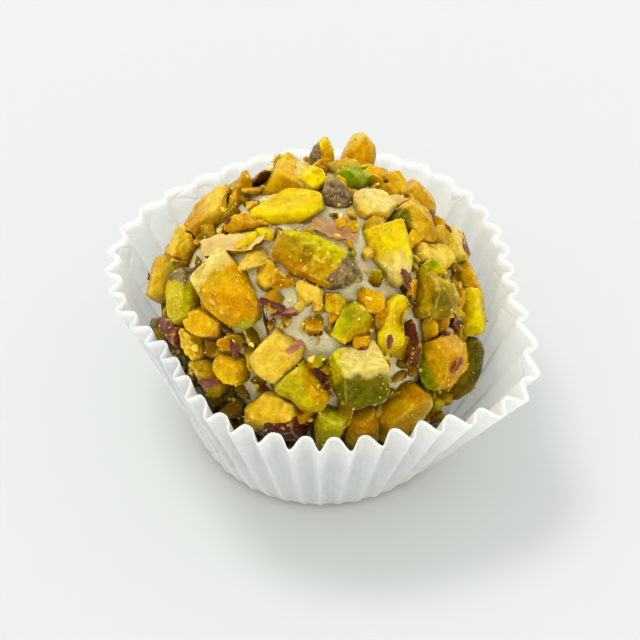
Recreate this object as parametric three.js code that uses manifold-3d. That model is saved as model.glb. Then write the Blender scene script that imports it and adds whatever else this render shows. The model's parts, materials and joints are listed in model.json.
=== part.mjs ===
// A gourmet brigadeiro: a ball of pale milk fudge rolled in coarsely chopped pistachios,
// sitting in the fluted white paper case that it is sold in.
// Millimetres, +Z up. The origin is the centre of the case's underside.

import * as THREE from 'three';
import { mergeVertices } from 'three/addons/utils/BufferGeometryUtils.js';
import Module from 'manifold-3d';

const manifoldLibrary = await Module();
manifoldLibrary.setup();

// ---------------------------------------------------------------- driving dimensions

const GAP = 0.3;                  // clearance between pieces that touch

const CASE_BASE_RADIUS = 14;      // flat bottom of the paper case
const CASE_SLANT = 21.6;          // base edge to rim, measured up the wall
const CASE_PAPER = 0.35;          // wall thickness
const FLUTES = 42;                // pleats round the wall
const FLUTE_DEPTH = 2.2;          // ridge to groove at the rim
const FLUTE_DEPTH_AT_BASE = 0.1;  // share of that depth at the base edge
const FLUTE_START = -133.5;       // azimuth of the first ridge, degrees
const FLUTE_GATHER = 2.5;         // how far the pleats crowd towards the front, degrees

// Mean radius of the rim every 30 degrees of azimuth, from +X anticlockwise: the case is
// pressed in at its left front and splayed at its right front, back and left.
const RIM_REACH = [21.5, 22.5, 25, 25.5, 24, 25.5, 23, 20, 22.5, 23, 23.5, 26];

const BALL_CENTRE = new THREE.Vector3(-0.9, -0.9, 17);
const FUDGE_RADIUS = 16;
const FUDGE_SAG = 16.6;           // centre to underside before it flattens on the case
const FUDGE_LUMP = 0.25;          // height of the soft lumps left by rolling between palms
const FUDGE_DENT = 1.4;           // how far the case presses the ball in at its left front
const DENT_AZIMUTH = 212;         // degrees
const DENT_WIDTH = 6;             // the higher, the narrower the dent
const BALL_FACES = [18, 11];      // round the ball, and from top to bottom

const SINK = 1.1;                 // how deep a nut is pressed into the fudge
const KERNEL_FACES = [7, 5];      // round a nut kernel, and from end to end
const BREAK_TILT = 0.16;          // a break is off square by up to this, radians
const SLOPE_TOP = 0.7;            // where a slanting break crosses the middle, share of half
const CUT_REACH = 3;              // size of a cutting block over the piece's longest side

// ---------------------------------------------------------------- colours

const COLOURS = {
  paper: '#eceeec',
  fudge: '#cfcdb2',
  amber: '#d9a227',
  lemon: '#ead32c',
  pale: '#ecd27a',
  tan: '#dfae4e',
  orange: '#d2881f',
  green: '#8fa325',
  olive: '#a08a1f',
  skin: '#5e3338',
};
const PAPER_ROUGHNESS = 0.8;
const FUDGE_ROUGHNESS = 0.35;
const NUT_ROUGHNESS = 0.55;

function finish(name, roughness) {
  return new THREE.MeshStandardMaterial({ color: COLOURS[name], roughness, metalness: 0 });
}

// ---------------------------------------------------------------- small tools

const radians = THREE.MathUtils.degToRad;

// A repeatable stream of numbers from 0 to 1.
function randomStream(seed) {
  let state = seed * 2654435761 >>> 0;
  return function next() {
    state = (state + 0x6d2b79f5) >>> 0;
    let mixed = Math.imul(state ^ (state >>> 15), 1 | state);
    mixed = (mixed + Math.imul(mixed ^ (mixed >>> 7), 61 | mixed)) ^ mixed;
    return ((mixed ^ (mixed >>> 14)) >>> 0) / 4294967296;
  };
}

// Three.js geometry to manifold solid, for the cuts.
function toSolid(geometry) {
  const bare = geometry.clone();
  bare.deleteAttribute('normal');
  bare.deleteAttribute('uv');
  const merged = mergeVertices(bare, 1e-4);
  const mesh = new manifoldLibrary.Mesh({
    numProp: 3,
    vertProperties: new Float32Array(merged.attributes.position.array),
    triVerts: new Uint32Array(merged.index.array),
  });
  return new manifoldLibrary.Manifold(mesh);
}

// Manifold solid back to three.js geometry.
function toGeometry(solid) {
  const mesh = solid.getMesh();
  const geometry = new THREE.BufferGeometry();
  geometry.setAttribute('position', new THREE.BufferAttribute(mesh.vertProperties, 3));
  geometry.setIndex(new THREE.BufferAttribute(mesh.triVerts, 1));
  geometry.computeVertexNormals();
  return geometry;
}

function namedMesh(name, geometry, material) {
  const mesh = new THREE.Mesh(geometry, material);
  mesh.name = name;
  return mesh;
}

// ---------------------------------------------------------------- the paper case

// Smooth closed curve through the rim stations.
function rimReach(azimuth) {
  const count = RIM_REACH.length;
  const station = THREE.MathUtils.euclideanModulo(azimuth / (2 * Math.PI) * count, count);
  const start = Math.floor(station);
  const part = station - start;
  const at = (step) => RIM_REACH[(start + step + count) % count];
  const slopeIn = (at(1) - at(-1)) / 2;
  const slopeOut = (at(2) - at(0)) / 2;
  const part2 = part * part;
  const part3 = part2 * part;
  return at(0) * (2 * part3 - 3 * part2 + 1) + at(1) * (3 * part2 - 2 * part3)
    + slopeIn * (part3 - 2 * part2 + part) + slopeOut * (part3 - part2);
}

// A point of the wall: height is 0 at the base edge and 1 at the rim, and offset is
// measured square to the wall, outwards.
function wallPoint(azimuth, height, offset) {
  const lean = Math.asin((rimReach(azimuth) - CASE_BASE_RADIUS) / CASE_SLANT);
  const slant = height * CASE_SLANT;
  const radius = CASE_BASE_RADIUS + slant * Math.sin(lean) + offset * Math.cos(lean);
  return { radius, level: slant * Math.cos(lean) - offset * Math.sin(lean) };
}

// Azimuth of a step round the wall: the pleats stand closer together at the front.
function fluteAzimuth(turnPart) {
  const even = radians(FLUTE_START) + turnPart * 2 * Math.PI;
  return even - radians(FLUTE_GATHER) * Math.cos(even);
}

// Turns a profile of rings round the axis. Each ring is a function of the step's azimuth
// and its share of a pleat, and gives a radius and a level.
function turnRings(rings, steps) {
  const outline = rings.map((ring, index) => new THREE.Vector2(index, index));
  const geometry = new THREE.LatheGeometry(outline, steps);
  const position = geometry.attributes.position;
  for (let step = 0; step <= steps; step += 1) {
    const turnPart = (step % steps) / steps;
    const azimuth = fluteAzimuth(turnPart);
    const wave = Math.cos(turnPart * FLUTES * 2 * Math.PI);
    rings.forEach((ring, index) => {
      const { radius, level } = ring(azimuth, wave);
      const vertex = step * rings.length + index;
      position.setXYZ(vertex, radius * Math.cos(azimuth), radius * Math.sin(azimuth), level);
    });
  }
  return geometry;
}

const WALL_HEIGHTS = [0, 1];      // base edge and rim
const STEPS_PER_FLUTE = 4;

function wallRing(height, inwards) {
  return (azimuth, wave) => {
    const depth = FLUTE_DEPTH * THREE.MathUtils.lerp(FLUTE_DEPTH_AT_BASE, 1, height);
    const point = wallPoint(azimuth, height, wave * depth / 2 - inwards);
    const floor = inwards > 0 ? CASE_PAPER : 0;
    const level = height === 0 ? floor : Math.max(point.level, floor);
    return { radius: point.radius, level };
  };
}

function paperCase() {
  const outside = WALL_HEIGHTS.map((height) => wallRing(height, 0));
  const inside = WALL_HEIGHTS.map((height) => wallRing(height, CASE_PAPER)).reverse();
  const underside = () => ({ radius: 0, level: 0 });
  const floor = () => ({ radius: 0, level: CASE_PAPER });
  return turnRings([underside, ...outside, ...inside, floor], FLUTES * STEPS_PER_FLUTE);
}

// The room that the sweet may fill: inside the case, and open above a brim just over its rim.
function caseRoom() {
  const clear = FLUTE_DEPTH / 2 + CASE_PAPER + GAP;
  const brimRise = 2;
  const wide = 60;
  const high = 80;
  const steps = 36;
  const wall = WALL_HEIGHTS.map((height) => (azimuth) => {
    const point = wallPoint(azimuth, height, -clear);
    return { radius: point.radius, level: Math.max(point.level, CASE_PAPER + GAP) };
  });
  const low = () => ({ radius: 0, level: CASE_PAPER + GAP });
  const brim = (azimuth) => {
    const rim = wallPoint(azimuth, 1, -clear);
    return { radius: wide, level: rim.level + brimRise };
  };
  const top = () => ({ radius: wide, level: high });
  const cap = () => ({ radius: 0, level: high });
  return toSolid(turnRings([low, ...wall, brim, top, cap], steps));
}

// ---------------------------------------------------------------- the fudge ball

function fudgeBall(extra) {
  const dentAzimuth = radians(DENT_AZIMUTH);
  const dent = new THREE.Vector3(Math.cos(dentAzimuth), Math.sin(dentAzimuth), -0.1).normalize();
  const geometry = new THREE.SphereGeometry(1, ...BALL_FACES);
  geometry.rotateX(Math.PI / 2);
  const position = geometry.attributes.position;
  const point = new THREE.Vector3();
  for (let index = 0; index < position.count; index += 1) {
    point.fromBufferAttribute(position, index);
    // Two waves of a little over half a turn each, across each other, make the lumps.
    const wander = Math.sin(3.1 * point.x + 2 * point.z) + Math.cos(3.7 * point.y + point.z);
    const press = Math.max(point.dot(dent), 0) ** DENT_WIDTH;
    const lump = FUDGE_LUMP * wander - FUDGE_DENT * press;
    const across = FUDGE_RADIUS + lump + extra;
    const down = (point.z < 0 ? FUDGE_SAG : FUDGE_RADIUS + lump) + extra;
    point.set(point.x * across, point.y * across, point.z * down).add(BALL_CENTRE);
    point.z = Math.max(point.z, CASE_PAPER + GAP - extra);
    position.setXYZ(index, point.x, point.y, point.z);
  }
  return geometry;
}

// ---------------------------------------------------------------- the chopped nuts

// How each kind of piece is broken out of a pistachio kernel. The kernel is a rounded
// ellipsoid, and grow is its half size over the piece's half size on each axis: the
// surplus is what the breaks take off. shift moves the kernel along its length, so that
// one end stays whole.
const KINDS = {
  kernel: { grow: [1.03, 1.06, 1.06], shift: 0, slopes: [] },
  half: { grow: [1.5, 1.12, 1.12], shift: 0.48, slopes: [] },
  block: { grow: [1.5, 1.44, 1.44], shift: 0, slopes: [] },
  cube: { grow: [1.75, 1.68, 1.68], shift: 0, slopes: [] },
  slab: { grow: [1.2, 1.3, 1.9], shift: 0.05, slopes: [] },
  wedge: { grow: [1.45, 1.4, 1.5], shift: 0, slopes: [34] },
  gable: { grow: [1.5, 1.5, 1.6], shift: 0, slopes: [48, -38] },
};

// One piece in its own frame, grown by extra all round: x is its length, y its width and
// z points out of the ball.
function nutPiece(nut, extra) {
  const kind = KINDS[nut.kind];
  const random = randomStream(nut.seed);
  const half = nut.size.map((size) => size / 2);
  const kernel = new THREE.SphereGeometry(1, ...KERNEL_FACES);
  kernel.rotateX(random() * Math.PI);
  kernel.rotateZ(Math.PI / 2);
  kernel.scale(...half.map((size, axis) => size * kind.grow[axis] + extra));
  kernel.translate(kind.shift * half[0], 0, 0);
  let solid = toSolid(kernel);
  if (nut.kind === 'kernel') {
    return solid;
  }
  const tilt = () => (random() - 0.5) * 2 * BREAK_TILT;
  const reach = CUT_REACH * Math.max(...nut.size);
  for (const axis of [0, 1, 2]) {
    const size = [reach, reach, reach];
    size[axis] = nut.size[axis] + 2 * extra;
    const breaks = new THREE.BoxGeometry(...size);
    breaks.rotateX(axis === 0 ? 0 : tilt());
    breaks.rotateY(tilt());
    breaks.rotateZ(tilt());
    solid = solid.intersect(toSolid(breaks));
  }
  for (const slope of kind.slopes) {
    const away = new THREE.BoxGeometry(reach, reach, reach);
    away.translate(0, 0, reach / 2);
    away.rotateX(radians(slope));
    away.translate(0, 0, half[2] * SLOPE_TOP + extra / Math.cos(radians(slope)));
    solid = solid.subtract(toSolid(away));
  }
  return solid;
}

// Where the piece lies on the ball: turned about the outward line, then tipped up by lean.
function nutPlace(nut) {
  const azimuth = radians(nut.azimuth);
  const latitude = radians(nut.latitude);
  const out = new THREE.Vector3(
    Math.cos(latitude) * Math.cos(azimuth),
    Math.cos(latitude) * Math.sin(azimuth),
    Math.sin(latitude),
  );
  const east = new THREE.Vector3(-Math.sin(azimuth), Math.cos(azimuth), 0);
  const north = new THREE.Vector3().crossVectors(out, east);
  const lean = radians(nut.lean);
  const [length, , thickness] = nut.size;
  const rise = (Math.abs(Math.sin(lean)) * length + Math.abs(Math.cos(lean)) * thickness) / 2;
  const place = new THREE.Matrix4().makeBasis(east, north, out);
  place.setPosition(out.clone().multiplyScalar(FUDGE_RADIUS - SINK + rise).add(BALL_CENTRE));
  place.multiply(new THREE.Matrix4().makeRotationZ(radians(nut.turn)));
  place.multiply(new THREE.Matrix4().makeRotationY(-lean));
  return place;
}

// The pieces that show from above and in front, one by one. Each line gives the name, the
// kind and colour, the azimuth and latitude on the ball, the length, width and thickness,
// the turn of its length from due east, and how far it is tipped up on its end. An earlier
// piece pushes the later ones aside.
const PLACED_NUTS = [
  ['tall_end', 'half', 'amber', 68, 44, [7, 3.6, 3.8], 84, -90],
  ['small_end', 'half', 'lemon', 85, 53, [5.2, 2.8, 2.6], 10, -88],
  ['crown_wedge', 'gable', 'amber', 120, 69, [4.8, 6, 5], 52, 0],
  ['green_flake', 'slab', 'green', 57, 62, [5.6, 3.2, 2.2], 95, 14],
  ['grey_end', 'half', 'skin', 28, 80, [3.6, 3.4, 3.2], 25, 10],
  ['lemon_slab', 'slab', 'lemon', 187, 80, [7.8, 4.3, 3.2], 79, 0],
  ['big_kernel', 'kernel', 'olive', 271, 65, [11.2, 5.4, 5], 154, 0],
  ['yellow_kernel', 'half', 'lemon', 329, 55, [7.2, 4.6, 4.4], 55, 0],
  ['amber_kernel', 'half', 'amber', 225, 43, [9.6, 5.6, 4.2], 164, 0],
  ['green_cube', 'cube', 'green', 287, 23, [5.2, 5, 4.4], 85, 22],
  ['orange_lump', 'half', 'orange', 327, 9, [6.8, 6.2, 4.8], 155, 0],
  ['front_lump', 'half', 'tan', 254, 4, [6.6, 6.4, 4.6], 11, 0],
  ['olive_end', 'half', 'olive', 336, 31, [5.6, 5, 4.6], 135, 0],
  ['pale_block', 'block', 'pale', 254, 29, [4.8, 4, 3.6], 59, 0],
  ['green_lump', 'half', 'green', 267, 17, [5.8, 4.8, 4.2], 133, 0],
  ['lemon_bone', 'slab', 'lemon', 307, 35, [6.6, 3.2, 3.6], 49, 0],
  ['brown_shard', 'slab', 'amber', 153, 56, [6.4, 2, 1.6], 158, 26],
  ['tan_slab', 'slab', 'tan', 161, 45, [7.6, 4.8, 2.8], 113, 6],
  ['split_kernel', 'half', 'tan', 3, 50, [5.6, 4.2, 4.4], 71, 0],
  ['tan_cube', 'block', 'pale', 8, 68, [4.4, 3.5, 3.4], 106, 0],
  ['green_block', 'block', 'green', 200, 29, [5.4, 3.6, 3.6], 145, 0],
  ['left_block', 'block', 'tan', 173, 33, [3.9, 3.6, 3.4], 150, 0],
  ['left_slab', 'slab', 'tan', 172, 11, [5, 3.8, 3.6], 135, 0],
  ['purple_block', 'block', 'skin', 203, 12, [4.6, 3.8, 3.3], 34, 0],
  ['amber_chip', 'slab', 'amber', 217, 28, [4.8, 2.6, 3], 24, 0],
  ['tan_stick', 'slab', 'tan', 216, 18, [4, 2.2, 3], 142, 0],
  ['olive_slab', 'slab', 'olive', 226, 9, [4.8, 3.3, 3.2], 162, 0],
  ['amber_block', 'block', 'amber', 236, 18, [3.3, 2.9, 3.1], 8, 0],
  ['lemon_curl', 'slab', 'lemon', 202, 58, [5.8, 2.3, 2], 64, 12],
  ['pale_chip', 'block', 'pale', 266, 56, [3.2, 2.7, 2.6], 118, 0],
  ['tan_chip', 'slab', 'tan', 241, 58, [4.2, 3, 2.5], 48, 0],
  ['green_chip', 'wedge', 'green', 289, 39, [4.4, 4, 3.4], 46, 0],
  ['right_block', 'block', 'pale', 11, 28, [5, 3.7, 3.7], 120, 0],
  ['right_oblong', 'slab', 'pale', 352, 40, [5.2, 3, 3.2], 118, 0],
  ['right_amber', 'slab', 'amber', 8, 13, [4.8, 3.8, 3.3], 44, 0],
  ['lemon_block', 'block', 'lemon', 358, 6, [5.6, 3.8, 3.8], 45, 0],
  ['dark_kernel', 'kernel', 'olive', 345, -12, [7.6, 5.4, 4.6], 43, 0],
  ['amber_slab', 'slab', 'amber', 303, -2, [7, 3.9, 3.7], 30, 0],
  ['olive_oblong', 'half', 'olive', 275, -4, [6.6, 3.4, 3.7], 79, 0],
  ['orange_block', 'block', 'orange', 287, -4, [4.8, 3.5, 3.7], 88, 0],
  ['low_slab', 'slab', 'olive', 209, 1, [4, 3, 3], 132, 0],
  ['low_block', 'block', 'olive', 186, -5, [4, 3.2, 3.1], 134, 0],
];

// The rest of the coat, out of sight round the back, is the same mixture in loose rows:
// latitude, first and last azimuth, number of pieces and their usual thickness.
const BACK_ROWS = [
  [27, 36, 60, 2, 3.6],
  [30, 90, 138, 3, 2],
  [5, 28, 156, 6, 3.6],
  [-19, 44, 140, 4, 3.6],
];
const BACK_LENGTH = [4.6, 6.6];   // shortest and longest
const BACK_WIDTH = [3.8, 5.2];
const BACK_UNEVEN = 0.6;          // spread of the thickness
const BACK_SHIFT = [6, 8];        // spread of azimuth and latitude, degrees
const BACK_SEED = 11;
const BACK_KINDS = ['half', 'block', 'slab', 'half', 'wedge'];
const BACK_COLOURS = ['amber', 'green', 'tan', 'lemon', 'olive', 'pale', 'skin', 'orange'];

function backNuts() {
  const random = randomStream(BACK_SEED);
  const within = ([least, most]) => least + (most - least) * random();
  const nuts = [];
  for (const [latitude, first, last, count, thickness] of BACK_ROWS) {
    for (let place = 0; place < count; place += 1) {
      const evenly = first + (last - first) * place / (count - 1);
      const azimuth = evenly + (random() - 0.5) * BACK_SHIFT[0];
      const length = within(BACK_LENGTH);
      const width = within(BACK_WIDTH);
      const thick = thickness + (random() - 0.5) * BACK_UNEVEN;
      nuts.push([
        `back_nut_${nuts.length + 1}`,
        BACK_KINDS[nuts.length % BACK_KINDS.length],
        BACK_COLOURS[nuts.length * 3 % BACK_COLOURS.length],
        azimuth,
        latitude + (random() - 0.5) * BACK_SHIFT[1],
        [length, width, thick],
        random() * 180,
        0,
      ]);
    }
  }
  return nuts;
}

// The largest body of a cut piece.
function largestBody(solid) {
  const bodies = solid.decompose();
  bodies.sort((one, other) => other.volume() - one.volume());
  return bodies[0];
}

function choppedNuts() {
  const room = caseRoom();
  const fudge = toSolid(fudgeBall(GAP));
  const taken = [];
  const meshes = [];
  [...PLACED_NUTS, ...backNuts()].forEach((line, index) => {
    const [name, kind, colour, azimuth, latitude, size, turn, lean] = line;
    const nut = { kind, azimuth, latitude, size, turn, lean, seed: index + 1 };
    const place = nutPlace(nut).elements;
    let solid = nutPiece(nut, 0).transform(place);
    const box = solid.boundingBox();
    solid = solid.intersect(room).subtract(fudge);
    for (const neighbour of taken) {
      const apart = [0, 1, 2].some((axis) => box.max[axis] < neighbour.box.min[axis]
        || box.min[axis] > neighbour.box.max[axis]);
      if (!apart) {
        solid = solid.subtract(neighbour.grown);
      }
    }
    const grown = nutPiece(nut, GAP).transform(place);
    taken.push({ grown, box: grown.boundingBox() });
    const geometry = toGeometry(largestBody(solid));
    meshes.push(namedMesh(`nut_${name}`, geometry, finish(colour, NUT_ROUGHNESS)));
  });
  return meshes;
}

// ---------------------------------------------------------------- the sweet

const brigadeiro = new THREE.Group();
brigadeiro.add(namedMesh('paper_case', paperCase(), finish('paper', PAPER_ROUGHNESS)));
brigadeiro.add(namedMesh('fudge_ball', fudgeBall(0), finish('fudge', FUDGE_ROUGHNESS)));
brigadeiro.add(...choppedNuts());

export default brigadeiro;
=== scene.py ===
import json
import math
import random

import bmesh
import bpy
import numpy as np
from mathutils import Matrix, Vector, noise
from mathutils.bvhtree import BVHTree


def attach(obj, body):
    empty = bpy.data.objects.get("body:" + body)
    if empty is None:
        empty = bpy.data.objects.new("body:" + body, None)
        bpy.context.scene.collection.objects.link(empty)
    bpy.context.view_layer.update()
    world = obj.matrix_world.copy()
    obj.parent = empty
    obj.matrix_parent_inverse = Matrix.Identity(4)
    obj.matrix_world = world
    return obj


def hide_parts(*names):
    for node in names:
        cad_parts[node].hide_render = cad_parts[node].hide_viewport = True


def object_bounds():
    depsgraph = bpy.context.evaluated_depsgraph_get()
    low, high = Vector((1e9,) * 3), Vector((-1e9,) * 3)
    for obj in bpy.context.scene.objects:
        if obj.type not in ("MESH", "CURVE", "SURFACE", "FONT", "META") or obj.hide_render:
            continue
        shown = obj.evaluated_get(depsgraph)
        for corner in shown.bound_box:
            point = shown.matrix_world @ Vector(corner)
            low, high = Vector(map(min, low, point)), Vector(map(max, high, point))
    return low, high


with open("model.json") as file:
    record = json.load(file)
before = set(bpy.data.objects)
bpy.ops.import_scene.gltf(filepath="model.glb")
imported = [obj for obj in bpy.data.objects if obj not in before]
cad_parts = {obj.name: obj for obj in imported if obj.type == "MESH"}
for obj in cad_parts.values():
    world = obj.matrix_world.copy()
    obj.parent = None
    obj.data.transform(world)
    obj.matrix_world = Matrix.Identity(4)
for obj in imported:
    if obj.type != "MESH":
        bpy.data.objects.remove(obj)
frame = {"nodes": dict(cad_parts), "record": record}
cad_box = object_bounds()


# ---- The paper case
# One round of thin white greaseproof paper, pressed between fluted dies so that its wall
# gathers into 42 pleats. The pleats alone hold it in shape. It has taken up a little nut oil in
# patches, it is darker and yellower low on the wall, and it has fine fold lines where fingers
# have set it down.

MM = 0.001
BASE_RADIUS = 14 * MM
SLANT = 21.6 * MM                # base edge to rim, up the wall
PAPER = 0.09 * MM
FLUTES = 42
FLUTE_DEPTH = 2.2 * MM           # ridge to groove at the rim
FLUTE_DEPTH_AT_BASE = 0.08       # share of that depth at the base edge
FLUTE_START = math.radians(-133.5)
FLUTE_GATHER = math.radians(2.5) # the pleats stand a little closer together at the front
FLOOR_INSET = 0.3 * MM           # the floor ends short of the fold at its edge
FLOOR_LIFT = 0.12 * MM           # the pleats run on into the floor's edge, this high
FOLD_ROUND = 0.5 * MM            # height over which the fold at the base edge opens
RIM_REACH = [21.5, 22.5, 25, 25.5, 24, 25.5, 23, 20, 22.5, 23, 23.5, 26]  # mm, every 30 degrees
STEPS_PER_FLUTE = 12
FLOOR_RINGS = [0, 0.3, 0.6, 0.8, 0.9, 0.96]
WALL_RINGS = [0.02, 0.04, 0.07, 0.1] + [0.14 + 0.86 * step / 19 for step in range(20)]


def rim_reach(azimuth):
    """Mean radius of the rim: a smooth closed curve through the twelve stations."""
    station = (azimuth / math.tau * 12) % 12
    start = int(station)
    part = station - start
    before, here, there, after = (RIM_REACH[(start + step) % 12] for step in (-1, 0, 1, 2))
    slope_in, slope_out = (there - before) / 2, (after - here) / 2
    return MM * (here * (2 * part**3 - 3 * part**2 + 1) + there * (3 * part**2 - 2 * part**3)
                 + slope_in * (part**3 - 2 * part**2 + part) + slope_out * (part**3 - part**2))


def round_noise(turn, grain, seed):
    """Smooth noise round a closed ring, from -1 to 1; grain is how many swings the turn has."""
    angle = turn * math.tau
    reach = grain / math.tau
    return noise.noise((reach * math.cos(angle), reach * math.sin(angle), seed))


def paper_point(turn, ring):
    """A point of the sheet: turn is the share of a full turn, ring counts floor then wall."""
    even = FLUTE_START + turn * math.tau
    azimuth = even - FLUTE_GATHER * math.cos(even)
    phase = turn * FLUTES * math.tau + 0.5 * round_noise(turn, 60, 3)
    # The pleats are sharp outwards at the front left, and sharp inwards at the back and right.
    pinch = min(max(0.32 * math.cos(azimuth - math.radians(240)) - 0.04, -0.2), 0.25)
    wave = (math.cos(phase) + pinch * math.cos(2 * phase)) / (1 + abs(pinch))
    if ring < len(FLOOR_RINGS):
        share = FLOOR_RINGS[ring]
        radius = share * (BASE_RADIUS - FLOOR_INSET)
        level = PAPER * 0.5 + FLOOR_LIFT * max(share - 0.6, 0) / 0.4 * (1 + wave) / 2
    else:
        height = WALL_RINGS[ring - len(FLOOR_RINGS)]
        lean = math.asin((rim_reach(azimuth) - BASE_RADIUS) / SLANT)
        depth = FLUTE_DEPTH * (FLUTE_DEPTH_AT_BASE + (1 - FLUTE_DEPTH_AT_BASE) * height**0.9)
        depth *= 0.9 + 0.16 * round_noise(turn, 34, 8 + 0.8 * height)
        slack = 0.28 * MM * height * (round_noise(turn, 9, 20 + height) - 0.6)
        slack += 0.1 * MM * round_noise(turn, 75, 50 + 5 * height)
        offset = wave * depth / 2 - PAPER + slack
        slant = height * SLANT - 0.12 * MM * (1 + round_noise(turn, 50, 31)) * height
        radius = BASE_RADIUS + slant * math.sin(lean) + offset * math.cos(lean)
        level = slant * math.cos(lean) - offset * math.sin(lean)
        radius -= 0.25 * MM * math.exp(-slant / FOLD_ROUND)
        level = max(level, PAPER * 0.5)
    return Vector((radius * math.cos(azimuth), radius * math.sin(azimuth), level))


sheet = bmesh.new()
rings = len(FLOOR_RINGS) + len(WALL_RINGS)
bmesh.ops.create_grid(sheet, x_segments=FLUTES * STEPS_PER_FLUTE, y_segments=rings - 1, size=0.5)
for vert in sheet.verts:
    vert.co = paper_point(vert.co.x + 0.5, round((vert.co.y + 0.5) * (rings - 1)))
bmesh.ops.remove_doubles(sheet, verts=sheet.verts, dist=1e-6)
bmesh.ops.dissolve_degenerate(sheet, edges=sheet.edges, dist=1e-7)
bmesh.ops.recalc_face_normals(sheet, faces=sheet.faces)
for face in sheet.faces:
    face.smooth = True


def mesh_of(name, net):
    """Turns a finished bmesh into a mesh."""
    mesh = bpy.data.meshes.new(name)
    net.to_mesh(mesh)
    net.free()
    return mesh


def into_scene(name, mesh):
    """Makes an object of the mesh, at the origin."""
    piece = bpy.data.objects.new(name, mesh)
    bpy.context.scene.collection.objects.link(piece)
    return piece


def piece_of(name, mesh, material):
    """Puts a finished mesh into the scene as a piece that rides on the sweet's one body."""
    piece = into_scene(name, mesh)
    mesh.materials.clear()
    mesh.materials.append(material)
    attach(piece, "root")
    return piece


def colour(code):
    """The linear colour of an sRGB hex code."""
    parts = [int(code[at:at + 2], 16) / 255 for at in (1, 3, 5)]
    return (*[p / 12.92 if p <= 0.04045 else ((p + 0.055) / 1.055) ** 2.4 for p in parts], 1)


def fill_inputs(tree, node, inputs):
    """Gives a node's inputs their values, or links them to other nodes' outputs."""
    for name, value in inputs.items():
        if isinstance(value, bpy.types.NodeSocket):
            tree.links.new(value, node.inputs[name])
        else:
            node.inputs[name].default_value = value


def add_node(tree, kind, inputs=None, **settings):
    """Adds a node. Settings are its own properties; inputs are values or other nodes' outputs."""
    made = tree.nodes.new(kind)
    for name, value in settings.items():
        setattr(made, name, value)
    fill_inputs(tree, made, inputs or {})
    return made


def new_material(name):
    """A new material, its tree, its shader and the place on the piece, in metres."""
    material = bpy.data.materials.new(name)
    material.use_nodes = True
    tree = material.node_tree
    place = add_node(tree, "ShaderNodeTexCoord").outputs["Object"]
    return material, tree, tree.nodes["Principled BSDF"], place


def greaseproof_paper():
    """Greaseproof paper: matt and bright white, translucent, with a faint fibre grain 0.5 mm
    long, soft creases, sharp fold lines some 5 mm apart and pale yellow-green oil."""
    material, tree, shader, place = new_material("greaseproof_paper")
    oil = add_node(tree, "ShaderNodeTexNoise", {
        "Vector": place, "Scale": 1 / (7 * MM), "Detail": 3.0})
    stain = add_node(tree, "ShaderNodeMapRange", {
        "Value": oil.outputs["Fac"], "From Min": 0.56, "From Max": 0.74, "To Max": 0.5})
    level = add_node(tree, "ShaderNodeSeparateXYZ", {"Vector": place})
    # darker and yellower towards the bottom of the wall
    low = add_node(tree, "ShaderNodeMapRange", {
        "Value": level.outputs["Z"], "From Min": 9 * MM, "From Max": 1 * MM, "To Max": 0.3})
    oil_and_darkening = add_node(tree, "ShaderNodeMath", {
        0: stain.outputs["Result"], 1: low.outputs["Result"]}, operation="ADD", use_clamp=True)
    tint = add_node(tree, "ShaderNodeMix", {
        0: oil_and_darkening.outputs["Value"], 6: colour("#EBEEEB"), 7: colour("#DADCC4")}, data_type="RGBA")
    fibre = add_node(tree, "ShaderNodeTexNoise", {
        "Vector": place, "Scale": 1 / (0.5 * MM), "Detail": 2.0})
    crease = add_node(tree, "ShaderNodeTexNoise", {
        "Vector": place, "Scale": 1 / (2.6 * MM), "Detail": 1.0, "Distortion": 1.5})
    height = add_node(tree, "ShaderNodeMath", {
        0: fibre.outputs["Fac"], 1: 0.15, 2: crease.outputs["Fac"]}, operation="MULTIPLY_ADD")
    warp = add_node(tree, "ShaderNodeTexNoise", {
        "Vector": place, "Scale": 1 / (4 * MM), "Detail": 2.0})
    bent = add_node(tree, "ShaderNodeVectorMath", {
        0: warp.outputs["Color"], 1: (3 * MM,) * 3, 2: place}, operation="MULTIPLY_ADD")
    cells = add_node(tree, "ShaderNodeTexVoronoi", {
        "Vector": bent.outputs[0], "Scale": 1 / (5 * MM)}, feature="DISTANCE_TO_EDGE")
    line = add_node(tree, "ShaderNodeMapRange", {
        "Value": cells.outputs["Distance"], "From Min": 0.05, "From Max": 0})
    folded = add_node(tree, "ShaderNodeMapRange", {
        "Value": oil.outputs["Fac"], "From Min": 0.44, "From Max": 0.56, "To Max": 0.9})
    sharp = add_node(tree, "ShaderNodeMath", {
        0: line.outputs["Result"], 1: folded.outputs["Result"]}, operation="MULTIPLY")
    height = add_node(tree, "ShaderNodeMath", {
        0: sharp.outputs["Value"], 1: -0.8, 2: height.outputs["Value"]}, operation="MULTIPLY_ADD")
    bump = add_node(tree, "ShaderNodeBump", {
        "Height": height.outputs["Value"], "Strength": 0.7, "Distance": 0.16 * MM})
    fill_inputs(tree, shader, {
        "Base Color": tint.outputs[2], "Normal": bump.outputs["Normal"], "Roughness": 0.8,
        "Specular IOR Level": 0.25, "Subsurface Weight": 0.85,
        "Subsurface Radius": (1, 1, 0.95), "Subsurface Scale": 0.7 * MM})
    return material


def thicken(piece, thickness):
    """Gives a sheet its thickness, half to each side."""
    both_sides = piece.modifiers.new("thickness", "SOLIDIFY")
    both_sides.thickness = thickness
    both_sides.offset = 0


pleated_paper = piece_of(
    "pleated_paper", mesh_of("pleated_paper", sheet), greaseproof_paper())
thicken(pleated_paper, PAPER)
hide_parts("paper_case")


# ---- The fudge ball
# Pale milk fudge, boiled until it holds together and rolled warm between buttered palms. It
# is dense, glossy and slightly see-through, and it wells up against each nut pressed into it.
# In the cracks between the nuts it is olive-brown, partly the nuts' oil and partly painted
# shade.

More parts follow.
